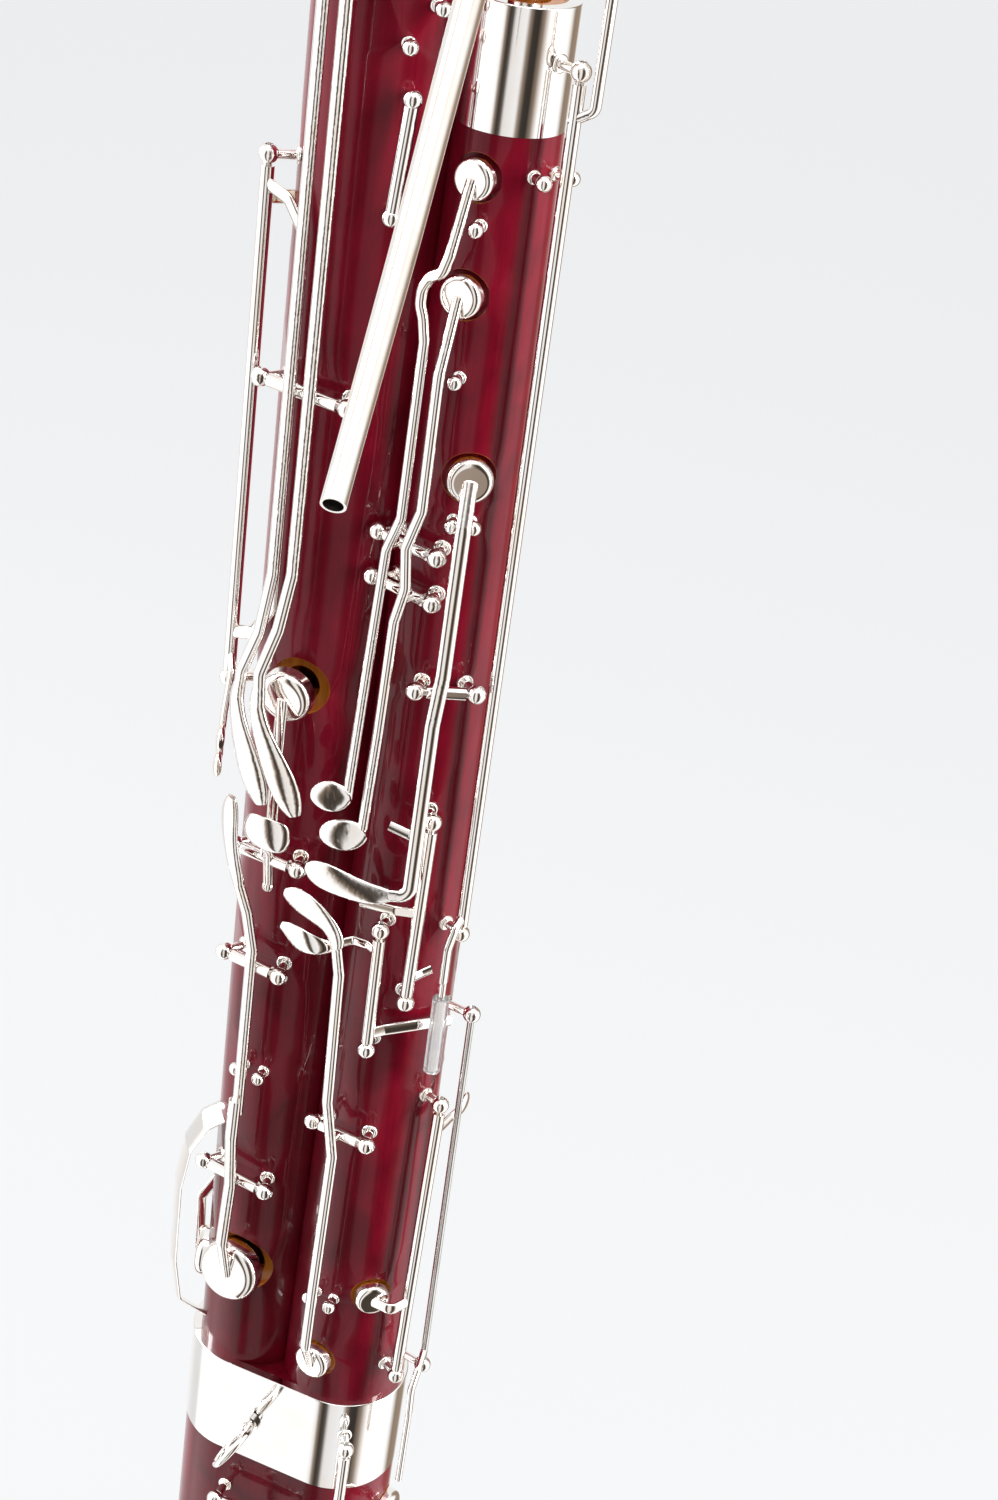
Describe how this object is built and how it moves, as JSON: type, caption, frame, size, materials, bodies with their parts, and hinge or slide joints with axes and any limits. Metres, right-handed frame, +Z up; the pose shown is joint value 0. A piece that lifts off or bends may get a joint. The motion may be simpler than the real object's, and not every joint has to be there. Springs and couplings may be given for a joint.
{
  "type": "bassoon",
  "caption": "Bassoon with a doubled wooden bore, wing, long, boot and bell joints, metal bands, a curved crook and sprung key levers that open and close padded tone holes.",
  "frame": {"origin": "centre of the boot cap's flat bottom, midway between the two bores", "axes": "+Z up the bores to the bell, +X from the long joint to the wing joint, -Y towards the player's thumbs"},
  "size_m": [0.1216, 0.2421, 1.34],
  "materials": {
    "lacquered_maple": "gloss",
    "silver_keys": "polished",
    "silver_bands": "polished",
    "bocal_silver": "polished",
    "leather_pads": "satin",
    "pivot_steel": "brushed",
    "hard_rubber": "satin",
    "tenon_thread": "matte",
    "cork": "matte",
    "clear_sleeve": "gloss",
    "brass_tube": "satin"
  },
  "bodies": {
    "frame": {"boot_body": "lacquered_maple", "boot_band": "silver_bands", "boot_cap": "silver_bands", "u_tube": "brass_tube", "wing_body": "lacquered_maple", "wing_band": "silver_bands", "bore_lining": "hard_rubber", "long_body": "lacquered_maple", "long_band": "silver_bands", "bell_body": "lacquered_maple", "bell_band": "silver_bands", "bell_ring": "silver_bands", "tenon_wraps": "tenon_thread", "key_posts": "silver_keys", "pivot_rods": "pivot_steel", "key_guard": "silver_keys", "strap_post": "silver_keys", "body_lock": "silver_keys"},
    "upper_flick": {"upper_flick_key": "silver_keys", "upper_flick_pad": "leather_pads"},
    "middle_flick": {"middle_flick_key": "silver_keys", "middle_flick_pad": "leather_pads"},
    "lower_flick": {"lower_flick_key": "silver_keys", "lower_flick_pad": "leather_pads"},
    "c_sharp_thumb": {"c_sharp_thumb_key": "silver_keys", "c_sharp_thumb_pad": "leather_pads"},
    "low_c": {"low_c_key": "silver_keys", "low_c_pad": "leather_pads"},
    "low_e": {"low_e_key": "silver_keys", "low_e_pad": "leather_pads"},
    "f_sharp_thumb": {"f_sharp_thumb_key": "silver_keys", "f_sharp_thumb_pad": "leather_pads"},
    "e_flat_trill": {"e_flat_trill_key": "silver_keys", "e_flat_trill_pad": "leather_pads"},
    "c_sharp": {"c_sharp_key": "silver_keys", "c_sharp_pad": "leather_pads"},
    "e_flat": {"e_flat_key": "silver_keys", "e_flat_pad": "leather_pads"},
    "b_flat_thumb": {"b_flat_thumb_key": "silver_keys", "b_flat_thumb_pad": "leather_pads"},
    "g": {"g_key": "silver_keys", "g_pad": "leather_pads"},
    "whisper_touch": {"whisper_touch": "silver_keys"},
    "whisper": {"whisper_key": "silver_keys", "whisper_pad": "leather_pads", "whisper_sleeve": "clear_sleeve"},
    "lock_lever": {"lock_lever": "silver_keys"},
    "e_link": {"e_link_key": "silver_keys"},
    "low_b_flat_lever": {"low_b_flat_lever": "silver_keys"},
    "low_b_flat": {"low_b_flat_key": "silver_keys", "low_b_flat_pad": "leather_pads"},
    "low_b_lever": {"low_b_lever": "silver_keys"},
    "low_b": {"low_b_key": "silver_keys", "low_b_pad": "leather_pads"},
    "low_d_lever": {"low_d_lever": "silver_keys"},
    "low_d": {"low_d_key": "silver_keys", "low_d_pad": "leather_pads"},
    "strap_ring": {"strap_ring": "silver_keys"},
    "bocal": {"bocal": "bocal_silver", "bocal_cork": "cork"}
  },
  "joints": [
    {"name": "upper_flick", "type": "hinge", "parent": "frame", "child": "upper_flick", "pos_m": [0.00133, -0.01802, 0.762], "axis": [0.967, -0.2546, 0], "range_deg": [0, 2], "stiffness_Nm_per_rad": 0.1, "springref_deg": -8.59},
    {"name": "middle_flick", "type": "hinge", "parent": "frame", "child": "middle_flick", "pos_m": [0.0012, -0.01817, 0.748], "axis": [0.9681, -0.2504, 0], "range_deg": [0, 2.2], "stiffness_Nm_per_rad": 0.1, "springref_deg": -8.59},
    {"name": "lower_flick", "type": "hinge", "parent": "frame", "child": "lower_flick", "pos_m": [0.02083, -0.02418, 0.72], "axis": [0.866, 0.5, 0], "range_deg": [0, 2.8], "stiffness_Nm_per_rad": 0.1, "springref_deg": -8.59},
    {"name": "c_sharp_thumb", "type": "hinge", "parent": "frame", "child": "c_sharp_thumb", "pos_m": [0.00483, -0.02389, 0.5575], "axis": [0.9958, -0.0915, 0], "range_deg": [-2.2, 0], "stiffness_Nm_per_rad": 0.1, "springref_deg": 8.59},
    {"name": "low_c", "type": "hinge", "parent": "frame", "child": "low_c", "pos_m": [-0.03031, -0.02612, 0.6505], "axis": [0.9969, -0.0785, 0], "range_deg": [-6, 0], "stiffness_Nm_per_rad": 0.1, "springref_deg": 8.59},
    {"name": "low_e", "type": "hinge", "parent": "frame", "child": "low_e", "pos_m": [-0.013, -0.03, 0.384], "axis": [1, 0, 0], "range_deg": [0, 7], "stiffness_Nm_per_rad": 0.1, "springref_deg": -8.59},
    {"name": "f_sharp_thumb", "type": "hinge", "parent": "frame", "child": "f_sharp_thumb", "pos_m": [-0.011, -0.03, 0.15], "axis": [1, 0, 0], "range_deg": [-4.5, 0], "stiffness_Nm_per_rad": 0.1, "springref_deg": 8.59},
    {"name": "e_flat_trill", "type": "hinge", "parent": "frame", "child": "e_flat_trill", "pos_m": [0.04128, -0.01346, 0.457], "axis": [0.0011, 0.0362, 0.9993], "range_deg": [0, 12], "stiffness_Nm_per_rad": 0.03, "springref_deg": -8.59},
    {"name": "c_sharp", "type": "hinge", "parent": "frame", "child": "c_sharp", "pos_m": [-0.04018, -0.01945, 0.702], "axis": [-0.0066, -0.0055, 1], "range_deg": [0, 5], "stiffness_Nm_per_rad": 0.03, "springref_deg": -8.59},
    {"name": "e_flat", "type": "hinge", "parent": "frame", "child": "e_flat", "pos_m": [-0.04114, 0.01394, 0.484], "axis": [-0.0075, 0.0043, 1], "range_deg": [-10, 0], "stiffness_Nm_per_rad": 0.03, "springref_deg": 8.59},
    {"name": "b_flat_thumb", "type": "hinge", "parent": "frame", "child": "b_flat_thumb", "pos_m": [0.0315, -0.02511, 0.262], "axis": [0, 0, 1], "range_deg": [-7, 0], "stiffness_Nm_per_rad": 0.03, "springref_deg": 8.59},
    {"name": "g", "type": "hinge", "parent": "frame", "child": "g", "pos_m": [0.017, 0.03, 0.12], "axis": [0, 0, 1], "range_deg": [0, 8], "stiffness_Nm_per_rad": 0.03, "springref_deg": -8.59},
    {"name": "whisper_touch", "type": "hinge", "parent": "frame", "child": "whisper_touch", "pos_m": [0.02066, -0.02603, 0.594], "axis": [-0.0121, 0.0129, 0.9998], "range_deg": [-3, 0], "stiffness_Nm_per_rad": 0.03, "springref_deg": 8.59},
    {"name": "whisper", "type": "hinge", "parent": "frame", "child": "whisper", "pos_m": [0.04001, -0.01025, 0.636], "axis": [-0.0092, 0.0067, 0.9999], "range_deg": [0, 8.5], "stiffness_Nm_per_rad": 0.03, "springref_deg": -8.59},
    {"name": "lock_lever", "type": "hinge", "parent": "frame", "child": "lock_lever", "pos_m": [0.03001, -0.02253, 0.6135], "axis": [0.0045, 0.0194, 0.9998], "range_deg": [-4, 0], "stiffness_Nm_per_rad": 0.03, "springref_deg": 8.59},
    {"name": "e_link", "type": "hinge", "parent": "frame", "child": "e_link", "pos_m": [0.04696, -0.00421, 0.457], "axis": [-0.0134, 0.0087, 0.9999], "range_deg": [0, 6], "stiffness_Nm_per_rad": 0.03, "springref_deg": -8.59},
    {"name": "low_b_flat_lever", "type": "hinge", "parent": "frame", "child": "low_b_flat_lever", "pos_m": [-0.03572, -0.02484, 0.8], "axis": [0.9877, -0.1564, 0], "range_deg": [0, 1.7], "stiffness_Nm_per_rad": 0.1, "springref_deg": -8.59},
    {"name": "low_b_flat", "type": "hinge", "parent": "frame", "child": "low_b_flat", "pos_m": [-0.03656, -0.02504, 1.01], "axis": [0.9703, -0.2419, 0], "range_deg": [-7.5, 0], "stiffness_Nm_per_rad": 0.1, "springref_deg": 8.59},
    {"name": "low_b_lever", "type": "hinge", "parent": "frame", "child": "low_b_lever", "pos_m": [-0.03572, -0.02484, 0.8], "axis": [0.9877, -0.1564, 0], "range_deg": [0, 1.39], "stiffness_Nm_per_rad": 0.1, "springref_deg": -8.59},
    {"name": "low_b", "type": "hinge", "parent": "frame", "child": "low_b", "pos_m": [-0.01809, -0.0312, 0.929], "axis": [0.9272, 0.3746, 0], "range_deg": [-11, 0], "stiffness_Nm_per_rad": 0.1, "springref_deg": 8.59},
    {"name": "low_d_lever", "type": "hinge", "parent": "frame", "child": "low_d_lever", "pos_m": [-0.0306, -0.02558, 0.6105], "axis": [0.992, -0.1262, 0], "range_deg": [-3.8, 0], "stiffness_Nm_per_rad": 0.1, "springref_deg": 8.59},
    {"name": "low_d", "type": "hinge", "parent": "frame", "child": "low_d", "pos_m": [-0.0325, -0.02298, 0.524], "axis": [0.9909, -0.1349, 0], "range_deg": [0, 6.5], "stiffness_Nm_per_rad": 0.1, "springref_deg": -8.59},
    {"name": "strap_ring", "type": "hinge", "parent": "frame", "child": "strap_ring", "pos_m": [-0.006, -0.0262, 0.418], "axis": [-0.5, 0, -0.866], "range_deg": [-60, 60]},
    {"name": "bocal_swivel", "type": "hinge", "parent": "frame", "child": "bocal", "pos_m": [0.017, 0, 0.9], "axis": [0, 0, 1], "range_deg": [-15, 15]}
  ],
  "couplings": [
    {"joint": "whisper", "follows": "whisper_touch", "ratio": -2.8},
    {"joint": "low_b_flat", "follows": "low_b_flat_lever", "ratio": -4.4},
    {"joint": "low_b", "follows": "low_b_lever", "ratio": -7.9},
    {"joint": "low_d", "follows": "low_d_lever", "ratio": -1.7}
  ]
}
